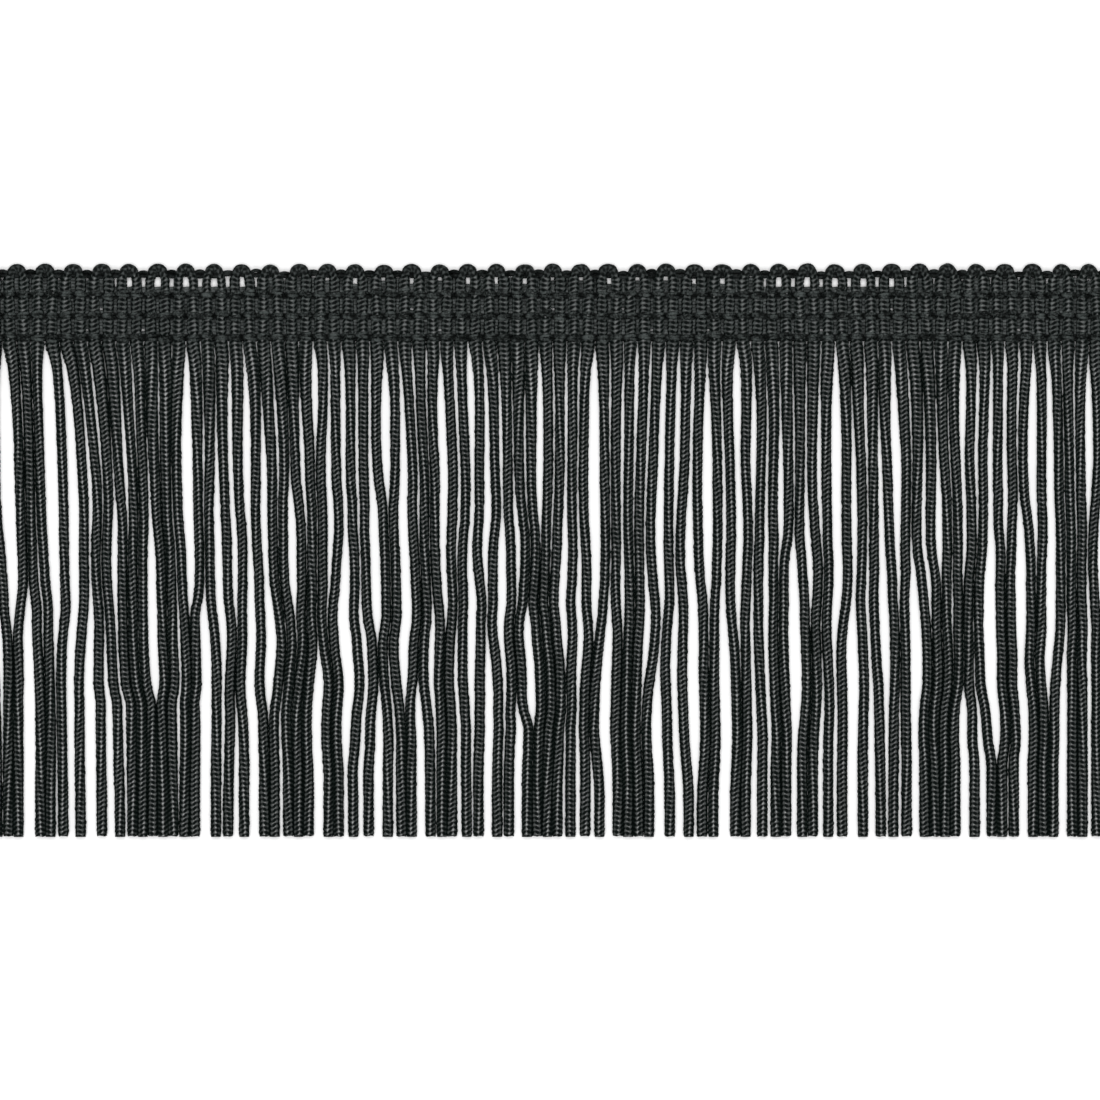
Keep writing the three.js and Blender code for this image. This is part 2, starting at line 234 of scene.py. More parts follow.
def smoothLine(values, width):
    kernel = np.hanning(width + 2)[1:-1]
    kernel /= kernel.sum()
    ends = (np.full(width, values[0]), np.full(width, values[-1]))
    padded = np.concatenate([ends[0], values, ends[1]])
    return np.convolve(padded, kernel, mode="same")[width:-width]


# Middle line of one cord, from its left tip up over the picot and down to its right tip
def hairpinLine(picot, depths, places):
    middle = (picot + 0.5) * 2 * strandPitch - trimLength / 2
    downs = np.arange(loopLeg[0][0], loopLeg[-1][0], cord["fineStep"])
    outs = np.interp(downs, [row[0] for row in loopLeg], [row[1] for row in loopLeg])
    free = np.exp(-(downs - loopLeg[0][0]) / cord["picotHold"])
    widen, shift = rng.normal(0, cord["picotStray"], 2)
    legs = []
    for side, strand in ((-1, 2 * picot), (1, 2 * picot + 1)):
        strayed = middle + side * outs + (shift + side * widen) * free
        inHeading = np.stack([strayed, picotLine - downs], 1)
        below = np.stack([places[1:, strand], freeTop - depths[1:]], 1)
        legs.append(np.concatenate([inHeading, below]))
    angles = np.linspace(math.pi, 0, cord["turnPoints"])[1:-1]
    turnY = picotLine - loopLeg[0][0]
    rise = loopLeg[0][0] - cord["radius"] * press["loop"] - abs(rng.normal(0, cord["picotUneven"]))
    turnX = middle + shift + (loopRadius + widen) * np.cos(angles)
    turn = np.stack([turnX, turnY + rise * np.sin(angles)], 1)
    return np.concatenate([legs[0][::-1], turn, legs[1]])


# Even rings along a line, three to a stitch
def evenRings(line, spacing):
    steps = np.linalg.norm(np.diff(line, axis=0), axis=1)
    along = np.concatenate([[0], np.cumsum(steps)])
    fine = np.arange(0, along[-1], cord["fineStep"])
    x = smoothLine(np.interp(fine, along, line[:, 0]), cord["evenAcross"])
    y = smoothLine(np.interp(fine, along, line[:, 1]), cord["evenAlong"])
    count = int(round(along[-1] / spacing))
    places = np.linspace(0, fine[-1], count + 1)
    return np.interp(places, fine, x), np.interp(places, fine, y)


stripMargin = 0.04         # clear edge of each tube's strip in the bake map, as a share of its width


# Joined tubes of one piece: their points, triangles and maps
class TubeBatch:
    def __init__(self):
        self.points = []
        self.triangles = []
        self.strips = []
        self.knits = []
        self.count = 0

    # rings: (ring, side, xyz), closed by a fan at both ends; grooves: groove ring at each side
    def add(self, rings, firstRing=0, grooves=None):
        total, around, _ = rings.shape
        grooves = np.zeros(around + 1, int) if grooves is None else grooves
        ring, side = np.meshgrid(np.arange(total - 1), np.arange(around), indexing="ij")
        climbs = (grooves[1:] > grooves[:-1])[side].ravel()
        corners = [(ring, side), (ring, side + 1), (ring + 1, side + 1), (ring + 1, side)]
        quadRing = np.stack([corner[0] for corner in corners], -1).reshape(-1, 4)
        quadSide = np.stack([corner[1] for corner in corners], -1).reshape(-1, 4)
        pick = np.where(climbs[:, None, None], [[[0, 1, 2], [0, 2, 3]]], [[[0, 1, 3], [1, 2, 3]]])
        quad = np.arange(len(quadRing))[:, None, None]
        ringOf = quadRing[quad, pick].reshape(-1, 3)
        sideOf = quadSide[quad, pick].reshape(-1, 3)
        fan = np.stack([np.zeros(around - 2, int), np.arange(1, around - 1), np.arange(2, around)], 1)
        ringOf = np.concatenate([ringOf, np.zeros_like(fan), np.full_like(fan, total - 1)])
        sideOf = np.concatenate([sideOf, fan[:, ::-1], fan])
        self.points.append(rings.reshape(-1, 3))
        self.triangles.append(self.count + ringOf * around + sideOf % around)
        self.strips.append(np.stack([sideOf / around, ringOf / (total - 1)], -1))
        stitch = (ringOf + firstRing - grooves[sideOf]) / cord["rows"]
        self.knits.append(np.stack([sideOf / around, stitch], -1))
        self.count += total * around

    def build(self, name, material):
        points = np.concatenate(self.points) * mm
        triangles = np.concatenate(self.triangles)
        columns = len(self.strips)
        strips = []
        for column, strip in enumerate(self.strips):
            placed = strip.copy()
            placed[..., 0] = (column + stripMargin + (1 - 2 * stripMargin) * strip[..., 0]) / columns
            strips.append(placed)
        mesh = bpy.data.meshes.new(name)
        mesh.vertices.add(len(points))
        mesh.vertices.foreach_set("co", points.astype(np.float32).ravel())
        mesh.loops.add(triangles.size)
        mesh.loops.foreach_set("vertex_index", triangles.astype(np.int32).ravel())
        mesh.polygons.add(len(triangles))
        mesh.polygons.foreach_set("loop_start", np.arange(0, triangles.size, 3, dtype=np.int32))
        mesh.update(calc_edges=True)
        for layer, values in (("OFBake", strips), ("knitMap", self.knits)):
            uv = mesh.uv_layers.new(name=layer)
            flat = np.concatenate(values).astype(np.float32).ravel()
            uv.uv.foreach_set("vector", flat)
        mesh.shade_smooth()
        mesh.materials.append(material)
        piece = bpy.data.objects.new(name, mesh)
        bpy.context.scene.collection.objects.link(piece)
        print(name, len(triangles), "triangles")
        return piece


upright = (0.0, 0.0, 1.0)
aslant = (0.12, 0.2, 1.0)  # for threads, which run straight up in places but never this way


# Frames along a line: the ways ahead, across and up
def ringFrames(line, towards):
    ahead = np.gradient(line, axis=0)
    ahead /= np.linalg.norm(ahead, axis=1, keepdims=True)
    across = np.cross(ahead, np.array(towards))
    across /= np.linalg.norm(across, axis=1, keepdims=True)
    up = np.cross(across, ahead)
    return ahead, across, up


# Swell of the stitches over a cord: radius for each ring and side, and each point's shift along it
def stitchSwell(angle, smooth):
    total = len(angle)
    ring = np.arange(total)[:, None]
    side = np.arange(sides)[None, :]
    each = sides // cord["columns"]
    number, inStitch = np.divmod(ring - grooveRing[:sides][None, :], cord["rows"])
    count = cord["unevenCount"]
    uneven = np.random.default_rng(cord["unevenSeed"]).normal(0, cord["uneven"], count)
    picked = uneven[(number + cord["unevenStep"] * (side // each)) % count]
    radius = cord["radius"] * (1 + picked * (inStitch > 0))
    depth = cord["grooveIn"] * (inStitch == 0) + cord["columnIn"] * (side % each == 0)
    radius = radius - depth * (1 - cord["flankSmooth"] * np.cos(angle) ** 2) * (1 - smooth)[:, None]
    shift = (grooveRun - grooveRing)[:sides]
    return radius, shift


# How the cord is pressed by the chain rows and how full it is between and below them
press = {
    "wide": [0.88, 0.80, 0.80, 0.82], "high": [0.86, 0.60, 0.60, 0.60], "reach": 1.0,   # under each row
    "cellWide": [1.14, 1.14, 1.14], "cellHigh": 0.86,     # between rows, from the top down
    "cellUneven": 0.04, "square": 0.34,                   # flatter tops there
    "slackPicot": 7, "slotReach": 3.1, "rootReach": 5.0,  # loops laid looser than the rest
    "slackFade": 2.0,                                     # loops over which the slack dies away
    "slackWide": 0.90,                                    # their cord under the first row
    "rootWide": [1.34, 1.30], "rootRun": [5.2, 15.0],     # just below the heading: tight loops, loose ones
    "rootHigh": 0.86, "rootUneven": 0.25,
    "bodyWide": 0.975, "tipWide": 1.05, "tipRun": 45.0,   # half way down, and towards the cut ends
    "loop": 0.90,                                         # in the turn of a picot
}


# How loosely a loop is laid, from 0 to 1
def slackness(picot, reach):
    repeat = lay["repeat"] // 2
    aside = abs(picot % repeat - press["slackPicot"])
    return min(1, max(0, (press[reach] - aside) / press["slackFade"]))


def cordSection(picot, y):
    turn = np.clip((y - chainLines[0]) / press["reach"], 0, 1)
    wide = 1 + (press["loop"] - 1) * turn
    high = wide.copy()
    for row, full in enumerate(press["cellWide"]):
        upper, lower = chainLines[row], chainLines[row + 1]
        inCell = (y > lower) & (y <= upper)
        if row == 0:
            full += (press["slackWide"] - full) * slackness(picot, "slotReach")
        wide[inCell] = full + rng.normal(0, press["cellUneven"])
        high[inCell] = press["cellHigh"]
    below = y <= chainLines[3]
    slack = slackness(picot, "rootReach")
    rootWide, rootRun = (np.interp(slack, [0, 1], press[key]) for key in ("rootWide", "rootRun"))
    rootRun *= math.exp(rng.normal(0, press["rootUneven"]))
    fade = np.exp(-(((chainLines[3] - y[below]) / rootRun) ** 2))
    ease = np.clip(1 - (y[below] - tipLine) / press["tipRun"], 0, 1)
    body = press["bodyWide"]
    wide[below] = body + (rootWide - body) * fade + (press["tipWide"] - body) * ease
    high[below] = 1 + (press["rootHigh"] - 1) * fade
    for row, line in enumerate(chainLines):
        near = np.clip(1 - np.abs(y - line) / press["reach"], 0, 1)
        near = near * near * (3 - 2 * near)
        wide += (press["wide"][row] - wide) * near
        high += (press["high"][row] - high) * near
    return wide, high


def cordRings(picot, depths, places):
    spacing = cord["stitch"] / cord["rows"]
    x, y = evenRings(hairpinLine(picot, depths, places), spacing)
    below = np.clip(freeTop + cord["settleFrom"] - y, 0, None)
    rest = cord["radius"] * cord["restLift"]
    z = rest + (cord["headingLift"] - rest) * np.exp(-(below / cord["settleDown"]) ** 2)
    z = z - cord["picotDrop"] * np.clip((y - chainLines[0]) / cord["dropRun"], 0, 1) ** cord["dropEase"]
    line = np.stack([x, y, z], 1)
    ahead, across, up = ringFrames(line, upright)
    wide, high = cordSection(picot, y)
    start, turn, slow = rng.uniform(0, 2 * math.pi, 3)
    along = np.arange(len(x)) * spacing
    twist = start + cord["twist"] * np.sin(along / cord["twistRun"] + turn)
    slowly = np.sin(along / (cord["slowRun"] * cord["twistRun"]) + slow)
    twist = twist + cord["slowTwist"] * cord["twist"] * slowly
    angle = twist[:, None] + np.arange(sides)[None, :] * 2 * math.pi / sides
    smooth = cord["picotSmooth"] * np.clip((y - chainLines[0]) / press["reach"], 0, 1)
    radius, shift = stitchSwell(angle, smooth)
    fromEnd = np.minimum(np.arange(len(x)), np.arange(len(x))[::-1])
    tip = 1 - cord["tipRound"] * np.clip(1 - fromEnd / cord["tipRings"], 0, 1)
    bound = np.clip((chainLines[0] - y) / press["reach"], 0, 1)
    bound = bound * np.clip((y - chainLines[3]) / press["reach"], 0, 1)
    power = (1 - press["square"] * bound)[:, None]
    cosine, sine = (np.sign(part) * np.abs(part) ** power for part in (np.cos(angle), np.sin(angle)))
    sideways = (radius * cosine * (wide * tip)[:, None])[..., None] * across[:, None, :]
    upward = (radius * sine * (high * tip)[:, None])[..., None] * up[:, None, :]
    forward = shift[None, :, None] * spacing * ahead[:, None, :]
    return line[:, None, :] + sideways + upward + forward, y


# Sockets as values: sums on them add Math nodes to the same tree
class Flow:
    def __init__(self, tree, socket):
        self.tree = tree
        self.socket = socket

    def node(self, kind, settings=None, inputs=None, out=0):
        made = self.tree.nodes.new(kind)
        for key, value in (settings or {}).items():
            setattr(made, key, value)
        for key, value in (inputs or {}).items():
            if isinstance(value, Flow):
                self.tree.links.new(value.socket, made.inputs[key])
            else:
                made.inputs[key].default_value = value
        return Flow(self.tree, made.outputs[out] if made.outputs else None)

    def math(self, operation, first, second=0.0):
        return self.node("ShaderNodeMath", {"operation": operation}, {0: first, 1: second})

    def __add__(self, other):
        return self.math("ADD", self, other)

    def __radd__(self, other):
        return self.math("ADD", other, self)

    def __sub__(self, other):
        return self.math("SUBTRACT", self, other)

    def __rsub__(self, other):
        return self.math("SUBTRACT", other, self)

    def __mul__(self, other):
        return self.math("MULTIPLY", self, other)

    def __rmul__(self, other):
        return self.math("MULTIPLY", other, self)


smoothStep = {"interpolation_type": "SMOOTHSTEP"}
colours = {"data_type": "RGBA"}


def newFinish(name):
    material = bpy.data.materials.new(name)
    material.use_nodes = True
    material.node_tree.nodes.clear()
    return material, Flow(material.node_tree, None)


def closeFinish(start, values):
    shader = start.node("ShaderNodeBsdfPrincipled", None, values)
    start.node("ShaderNodeOutputMaterial", None, {"Surface": shader})


# Black rayon cord, lustrous on the swell of each stitch. Its base colour carries painted shade and light:
# near black in the grooves and a lighter tone on the swell, mottled at random. Its coat is painted on only
# where it faces up, a painted highlight
cordLook = {
    # First colour of each pair: painted shade in the stitch grooves. Second: the lighter tone on the swell,
    # painted light with random mottle
    "deep": (0.0021, 0.0040, 0.0034), "litTone": (0.0165, 0.0233, 0.0215),              # strands
    "pressedDeep": (0.0020, 0.0034, 0.0030), "pressedLitTone": (0.0515, 0.0613, 0.0590),   # heading
    "picotDeep": (0.0050, 0.0062, 0.0059), "picotLitTone": (0.046, 0.0540, 0.0524),       # its loops
    "roughLow": 0.32, "roughHigh": 0.6,
    "patchScale": 420.0, "patchDetail": 3.0,                       # unevenness of the yarn
    "fineScale": 3000.0, "fineDetail": 2.0,
    "mottle": 0.6, "patchRaise": 0.5,
    "filaments": 5.0, "filamentStray": 4.0, "filamentShare": 0.4,  # in one stitch
    "filamentBump": 0.35, "filamentDepth": 0.00005,
    "specular": 0.02, "lustre": 0.64, "pressedLustre": 0.21, "picotLustre": 0.05,
    "lustreRough": 0.30, "lustreIor": 2.2,
    "flank": 0.35, "pressedFlank": 0.1, "crown": 0.96,             # facing range over which the coat is painted on, from none on the flanks to full on the crown: a painted highlight on the surfaces that face up
    "flankShade": 0.0, "picotFlankShade": 0.85,                                  # how much darker the base colour is painted where the surface faces sideways: painted shade on the flanks
    "swellAcross": 0.45, "swellAlong": 0.55,                       # how far a stitch's swell spreads
    "swellFrom": 0.34, "pressedSwellFrom": 0.29, "swellTo": 0.9,
    "looseRun": 8.5,      # below the heading, over which its look gives way to the strands'
}


def cordFinish(name, part, flankShade):
    material, start = newFinish(name)
    knit = start.node("ShaderNodeUVMap", {"uv_map": "knitMap"})
    around = start.node("ShaderNodeSeparateXYZ", None, {0: knit})
    along = start.node("ShaderNodeSeparateXYZ", None, {0: knit}, 1)
    place = start.node("ShaderNodeTexCoord", None, None, 3)        # in the object's own space
    patch = start.node("ShaderNodeTexNoise", None, {
        "Vector": place, "Scale": cordLook["patchScale"], "Detail": cordLook["patchDetail"],
    })
    fine = start.node("ShaderNodeTexNoise", None, {
        "Vector": place, "Scale": cordLook["fineScale"], "Detail": cordLook["fineDetail"],
    })
    upTrim = start.node("ShaderNodeSeparateXYZ", None, {0: place}, 1)
    pressed = start.node("ShaderNodeMapRange", smoothStep, {
        "Value": upTrim, "From Max": chainLines[3] * mm,
        "From Min": (chainLines[3] - cordLook["looseRun"]) * mm,
    })

    def easing(loose, bound):
        return cordLook[loose] + (cordLook[bound] - cordLook[loose]) * pressed

    acrossBead = 1 - start.math("ABSOLUTE", start.math("FRACT", around * cord["columns"]) * 2 - 1)
    alongBead = 1 - start.math("ABSOLUTE", start.math("FRACT", along) * 2 - 1)
    swell = start.node("ShaderNodeMapRange", smoothStep, {
        "Value": acrossBead * cordLook["swellAcross"] + alongBead * cordLook["swellAlong"],
        "From Max": cordLook["swellTo"],
        "From Min": easing("swellFrom", "pressedSwellFrom"),
    })
    normal = start.node("ShaderNodeNewGeometry", None, None, 1)
    facing = start.node("ShaderNodeSeparateXYZ", None, {0: normal}, 2)
    # How far the surface faces up. The coat is painted on only there, a painted highlight where the
    # overhead light falls, and the flanks' painted shade follows it too
    crown = start.node("ShaderNodeMapRange", smoothStep, {
        "Value": start.math("ABSOLUTE", facing), "From Max": cordLook["crown"],
        "From Min": easing("flank", "pressedFlank"),
    })
    turns = along * (2 * math.pi * cordLook["filaments"])
    filament = start.math("SINE", turns + patch * cordLook["filamentStray"])
    bump = start.node("ShaderNodeBump", None, {
        "Strength": cordLook["filamentBump"], "Distance": cordLook["filamentDepth"],
        "Height": filament * cordLook["filamentShare"] + fine,
    })

    def tone(loose, bound):
        ends = {0: pressed, 6: (*cordLook[loose], 1), 7: (*cordLook[bound], 1)}
        return start.node("ShaderNodeMix", colours, ends, 2)

    # Painted shade and light in the base colour: near black in the stitch grooves, the lighter tone on the
    # swell, mottled at random
    mottled = fine * cordLook["mottle"] + patch * cordLook["mottle"]
    # Where the surface faces sideways the lighter tone is cut back by the flank share: painted shade on the
    # flanks, used on the picots
    lit = swell * mottled * (1 - flankShade + flankShade * crown)
    shade = start.node("ShaderNodeMix", colours, {
        0: lit, 6: tone("deep", part + "Deep"), 7: tone("litTone", part + "LitTone"),
    }, 2)
    raised = patch + cordLook["patchRaise"]
    rough = cordLook["roughHigh"] - (cordLook["roughHigh"] - cordLook["roughLow"]) * swell * raised
    lustre = cordLook["lustre"] + (cordLook[part + "Lustre"] - cordLook["lustre"]) * pressed * pressed
    closeFinish(start, {
        "Base Color": shade, "Roughness": rough, "Normal": bump,
        "Specular IOR Level": cordLook["specular"],
        "Coat Weight": swell * crown * lustre * raised,
        "Coat Roughness": cordLook["lustreRough"], "Coat IOR": cordLook["lustreIor"],
    })
    return material


# Binding thread and wefts: matt. Their base colour is painted darker where they lie low, painted shade, and
# takes its lighter mottled tone only where they stand high. Heights in millimetres
threadLook = {
    "chainDeep": (0.0034, 0.0044, 0.0041), "chainLitTone": (0.0570, 0.0662, 0.0641),
    "chainShadeHeights": (0.5, 1.7),
    "valleyDeep": (0.0008, 0.0014, 0.0012), "valleyLitTone": (0.0170, 0.0200, 0.0194),    # between the picots
    "valleyShadeHeights": (0.4, 1.7),
    "weftDeep": (0.023, 0.0260, 0.0254), "weftLitTone": (0.080, 0.0880, 0.0868),
    "weftShadeHeights": (0.0, 0.4),
    "fineScale": 3200.0, "fineDetail": 3.0, "patchScale": 700.0, "patchDetail": 2.0,
    "fineShare": 0.45, "patchShare": 0.55, "fuzz": (0.39, 0.65),
    "plyScale": 900.0, "plyStray": 1.5, "plyBump": 0.5, "plyDepth": 0.00005,
    "rough": 0.62, "specular": 0.045,
}


def threadFinish(name, part):
    material, start = newFinish(name)
    place = start.node("ShaderNodeTexCoord", None, None, 3)        # in the object's own space
    fine = start.node("ShaderNodeTexNoise", None, {
        "Vector": place, "Scale": threadLook["fineScale"], "Detail": threadLook["fineDetail"],
    })
    ply = start.node("ShaderNodeTexWave", {"bands_direction": "DIAGONAL"}, {
        "Vector": place, "Scale": threadLook["plyScale"], "Distortion": threadLook["plyStray"],
    }, 1)
    bump = start.node("ShaderNodeBump", None, {
        "Strength": threadLook["plyBump"], "Distance": threadLook["plyDepth"], "Height": ply + fine,
    })
    patch = start.node("ShaderNodeTexNoise", None, {
        "Vector": place, "Scale": threadLook["patchScale"], "Detail": threadLook["patchDetail"],
    })
    fuzzLow, fuzzHigh = threadLook["fuzz"]
    fuzz = start.node("ShaderNodeMapRange", smoothStep, {
        "Value": fine * threadLook["fineShare"] + patch * threadLook["patchShare"],
        "From Min": fuzzLow, "From Max": fuzzHigh,
    })
    # Painted shade: below the lower height the thread keeps its dark colour, above the upper one it takes
    # its lighter tone, mottled at random by the fuzz
    low, high = threadLook[part + "ShadeHeights"]
    height = start.node("ShaderNodeSeparateXYZ", None, {0: place}, 2)
    raised = start.node("ShaderNodeMapRange", smoothStep, {
        "Value": height, "From Min": low * mm, "From Max": high * mm,
    })
    shade = start.node("ShaderNodeMix", colours, {
        0: fuzz * raised, 6: (*threadLook[part + "Deep"], 1), 7: (*threadLook[part + "LitTone"], 1),
    }, 2)
    closeFinish(start, {
        "Base Color": shade, "Roughness": threadLook["rough"], "Normal": bump,
        "Specular IOR Level": threadLook["specular"],
    })
    return material


# Rows of chain stitch: each loop comes up through the head of the last, passes over one cord
# as two legs and turns round in the next slot. The first row shows only between the picots.
chain = {
    "thread": 0.30,        # radius
    "spread": 0.46,        # from a row's line to a leg's middle, where the loop is widest
    "taper": 0.7,          # how much narrower a loop is at its foot
    "overlap": 0.12,       # how far a loop's head passes the next slot
    "steps": 22,
    "sides": 6,
    "dive": 1.5,           # how deep the loops end in the slots, below their crown
    "arch": 0.95,          # lower: flatter over the cord
    "legEase": 0.9,        # lower: rounder turns
    "proud": 0.6,          # how far a loop stands above the cord it passes, in radii of its thread
    "uneven": 0.24,        # in width and height, one loop against another
    "stray": 0.8,          # and from the row's line
    "slip": 0.4,           # and along it
    "backAside": [-0.42, 0.42], "backLift": 0.2,   # threads along the back, beside the row's line
    "rise": [0, 0.25, 0.12, 0.0],                  # how far each row has been drawn up from its line
    "valleyHalf": 0.92, "valleyUp": 0.06,          # lumps between the picots
    "valleySpread": 0.38, "valleyThread": 0.34,
    "valleyCrown": 1.72, "valleyDive": 1.0, "valleyEase": 2.2, "valleyLift": 0.6,
    "plugHalf": 0.7, "plugUp": 0.1, "plugCrown": 1.2,              # and inside their turns
    "clear": 0.02,         # least room under a thread
}


def chainLoop(x, y, crown, jitter):
    t = np.linspace(0, 1, chain["steps"] + 1)
    out = 0.5 - 0.5 * np.cos(2 * math.pi * t)              # foot, head, foot
    side = np.sin(2 * math.pi * t)
    wide = np.sign(side) * np.abs(side) ** chain["legEase"] * (1 - chain["taper"] * (1 - out))
    px = x + (strandPitch + chain["overlap"]) * out + chain["slip"] * jitter[2]
    py = y + chain["spread"] * wide * (1 + jitter[0]) + chain["stray"] * jitter[1]
    over = np.clip((px - x) / strandPitch, 0, 1)
    arch = np.clip(np.sin(math.pi * over), 0, 1) ** chain["arch"]
    pz = crown + chain["thread"] * (chain["proud"] + jitter[2]) - chain["dive"] * (1 - arch)
    return np.stack([px, py, np.maximum(pz, chain["thread"] + chain["clear"])], 1)


# A lump of thread between two picots, or in the turn of one
def lumpLoop(x, y, half, crown, jitter):
    turn = np.linspace(0, 2 * math.pi, chain["steps"] + 1)
    px = x + half * np.cos(turn)
    py = y + chain["valleySpread"] * ((1 + jitter[0]) * np.sin(turn) + jitter[1])
    pz = crown - chain["valleyDive"] * np.abs(np.cos(turn)) ** chain["valleyEase"]
    return np.stack([px, py, np.maximum(pz, chain["valleyThread"] + chain["clear"])], 1)


def threadTube(line, radius):
    side, up = ringFrames(line, aslant)[1:]
    angle = (np.arange(chain["sides"]) * 2 * math.pi / chain["sides"])[None, :, None]
    ring = np.cos(angle) * side[:, None, :] + np.sin(angle) * up[:, None, :]
    return line[:, None, :] + radius * ring


def chainRow(row, name, y, material):
    batch = TubeBatch()
    end = trimLength / 2 - endRoom
    if row == 0:
        for half in range(1, strands):
            x = half * strandPitch - trimLength / 2
            jitter = rng.normal(0, chain["uneven"], 2)
            if half % 2:
                loop = lumpLoop(x, y + chain["plugUp"], chain["plugHalf"], chain["plugCrown"], jitter)
            else:
                loop = lumpLoop(x, y + chain["valleyUp"], chain["valleyHalf"], chain["valleyCrown"], jitter)
            batch.add(threadTube(loop, chain["valleyThread"]))
    else:
        crown = cord["headingLift"] + cord["radius"] * press["high"][row]
        for loop in range(strands):
            x = loop * strandPitch - trimLength / 2
            line = chainLoop(x, y + chain["rise"][row], crown, rng.normal(0, chain["uneven"], 3))
            line[:, 0] = np.minimum(line[:, 0], end)
            batch.add(threadTube(line, chain["thread"]))
    backThread(batch, -end, end, y, chain["thread"], 0.0, 0.0)
    for aside in chain["backAside"] if row else [chain["valleyUp"]]:
        lift = chain["backLift"] if row else chain["valleyLift"]
        backThread(batch, -end, end, y + aside, chain["thread"], lift, aside)
    return batch.build(name, material)


# Wefts laid in along the trim, which close the slots between the cords
weft = {
    "radius": 0.31,
    "lift": 0.46,          # height of their underside
    "lines": [0.85, 1.38, 1.92, 2.45, 2.95],   # below each chain row
    "wave": 0.06,
    "waveTurn": 1.9,       # change of its phase from line to line
    "points": 1.2,         # in a millimetre of their length
    "leastPoints": 4,
    "openFrom": 0.5,       # slackness of the loops whose slots they leave open
    "closedFrom": 2.4,     # below the first row, where even the loose loops' slots are closed
    "thin": [{0: 0.8, 1: 0.25}, {3: 0.12}, {3: 0.12}],   # in each cell: line, share of slots missed
}


# A thread along the trim, from one place to another
def backThread(batch, fromX, toX, y, radius, lift, phase):
    steps = np.linspace(fromX, toX, max(weft["leastPoints"], int((toX - fromX) * weft["points"])))
    wave = weft["wave"] * np.sin(steps * 2 * math.pi / strandPitch + phase)
    height = np.full_like(steps, radius + lift + chain["clear"])
    batch.add(threadTube(np.stack([steps, y + wave, height], 1), radius))


# Stretches of the trim between the loosely laid loops
def tightStretches():
    edges = []
    tight = [slackness(picot, "slotReach") < weft["openFrom"] for picot in range(lay["picots"])]
    for picot, here in enumerate(tight):
        if here and (picot == 0 or not tight[picot - 1]):
            edges.append([picot, picot])
        if here:
            edges[-1][1] = picot
    pitch = 2 * strandPitch
    half = trimLength / 2
    return [(first * pitch - half + endRoom, (last + 1) * pitch - half - endRoom) for first, last in edges]


# Stretches cut at a share of the slots
def thinned(stretches, share):
    pieces = []
    for fromX, toX in stretches:
        for slot in range(1, strands):
            x = slot * strandPitch - trimLength / 2
            if fromX + strandPitch < x < toX - strandPitch and rng.random() < share:
                pieces.append((fromX, x - strandPitch / 2))
                fromX = x + strandPitch / 2
        pieces.append((fromX, toX))
    return [(left, right) for left, right in pieces if right > left]


def weftRows(name, material):
    batch = TubeBatch()
    whole = [(endRoom - trimLength / 2, trimLength / 2 - endRoom)]
    for cell, thin in enumerate(weft["thin"]):
        for number, down in enumerate(weft["lines"]):
            slotsOpen = cell == 0 and down < weft["closedFrom"]
            stretches = tightStretches() if slotsOpen else whole
            if number in thin:
                stretches = thinned(stretches, thin[number])
            y = chainLines[cell] - down
            phase = number * weft["waveTurn"]
            for fromX, toX in stretches:
                backThread(batch, fromX, toX, y, weft["radius"], weft["lift"], phase)
    return batch.build(name, material)


def settle(piece, slot, *nodes):
    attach(piece, "root")
    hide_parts(*nodes)


cordMaterial = cordFinish("black chainette", "pressed", cordLook["flankShade"])
# the picots' flanks get painted shade in their base colour
picotMaterial = cordFinish("smooth black chainette", "picot", cordLook["picotFlankShade"])
threadMaterial = threadFinish("black binding thread", "chain")
valleyMaterial = threadFinish("deep black binding thread", "valley")
weftMaterial = threadFinish("soft black weft", "weft")
print("finishes made")

strandPieces = 4           # the strands' lengths are shared among so many pieces
depths = np.linspace(0, freeLength, lay["stops"])
places = strandPlaces(depths)
strandBatches = [TubeBatch() for _ in range(strandPieces)]
headingBatch = TubeBatch()
picotBatch = TubeBatch()
for picot in range(lay["picots"]):
    rings, y = cordRings(picot, depths, places)
    inHeading = np.nonzero(y >= chainLines[3])[0]
    first, last = inHeading[0], inHeading[-1]
    inTurn = np.nonzero(y >= chainLines[0] - cord["picotFrom"])[0]
    up, down = inTurn[0], inTurn[-1]
    batch = strandBatches[picot * strandPieces // lay["picots"]]
    batch.add(rings[: first + 1], 0, grooveRing)
    headingBatch.add(rings[first : up + 1], first, grooveRing)
    picotBatch.add(rings[up : down + 1], up, grooveRing)
    headingBatch.add(rings[down : last + 1], down, grooveRing)
    batch.add(rings[last:], last, grooveRing)
for number, batch in enumerate(strandBatches):
    settle(batch.build(f"strands_{number + 1}", cordMaterial), "chainette_cord", "skirt")
settle(headingBatch.build("heading_cords", cordMaterial), "chainette_cord", "heading")
settle(picotBatch.build("picots", picotMaterial), "chainette_cord", "heading")
for row, name in enumerate(chainNames):
    material = threadMaterial if row else valleyMaterial
    piece = chainRow(row, name.replace("binding_", ""), chainLines[row], material)
    settle(piece, "chain_thread", name)
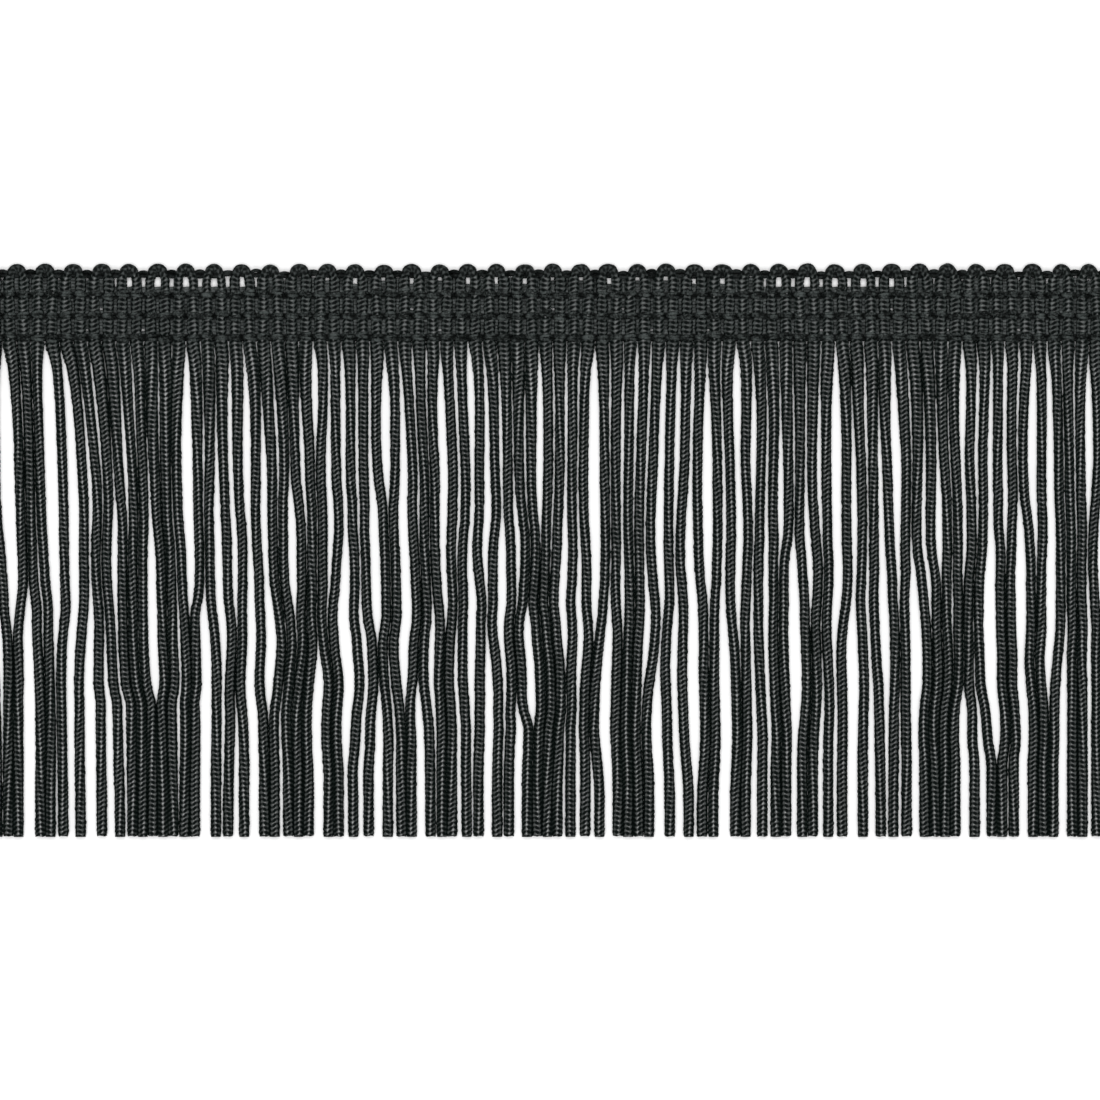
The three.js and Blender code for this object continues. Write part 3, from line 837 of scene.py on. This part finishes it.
settle(weftRows("wefts", weftMaterial), "chain_thread", "heading")
print("trim made")

# Floor, light and camera
stage = {
    "floor": 4.0, "floorColour": (0.88, 0.88, 0.88), "floorRough": 0.9,
    "lampHeight": 2.4, "lampWide": 1.5, "lampLong": 3.0, "lampPower": 58.0,
    "surround": 0.62,
    "cameraHeight": 1.2, "frameWide": 0.1950, "middle": (-0.0005, 0.0),
    "sensor": 36.0, "nearest": 0.01,
}


def makeFloor():
    half = stage["floor"] / 2
    corners = [(-half, -half, 0), (half, -half, 0), (half, half, 0), (-half, half, 0)]
    mesh = bpy.data.meshes.new("floor")
    mesh.from_pydata(corners, [], [(0, 1, 2, 3)])
    floor = bpy.data.objects.new("floor", mesh)
    bpy.context.scene.collection.objects.link(floor)
    material, start = newFinish("pale floor")
    closeFinish(start, {
        "Base Color": (*stage["floorColour"], 1), "Roughness": stage["floorRough"],
        "Specular IOR Level": 0.0,
    })
    mesh.materials.append(material)


def makeLight():
    lamp = bpy.data.lights.new("softbox", "AREA")
    lamp.shape = "RECTANGLE"
    lamp.size = stage["lampWide"]
    lamp.size_y = stage["lampLong"]
    lamp.energy = stage["lampPower"]
    holder = bpy.data.objects.new("softbox", lamp)
    holder.location = (0, 0, stage["lampHeight"])
    bpy.context.scene.collection.objects.link(holder)
    world = bpy.data.worlds.new("studio")
    world.use_nodes = True
    backdrop = world.node_tree.nodes["Background"]
    backdrop.inputs["Color"].default_value = (1, 1, 1, 1)
    backdrop.inputs["Strength"].default_value = stage["surround"]
    bpy.context.scene.world = world


def makeCamera():
    lens = bpy.data.cameras.new("camera")
    lens.sensor_width = stage["sensor"]
    lens.lens = stage["sensor"] * stage["cameraHeight"] / stage["frameWide"]
    lens.clip_start = stage["nearest"]
    holder = bpy.data.objects.new("camera", lens)
    holder.location = (*stage["middle"], stage["cameraHeight"])
    bpy.context.scene.collection.objects.link(holder)
    bpy.context.scene.camera = holder


makeFloor()
makeLight()
makeCamera()
bpy.context.scene.view_settings.view_transform = "Standard"
print("stage set")
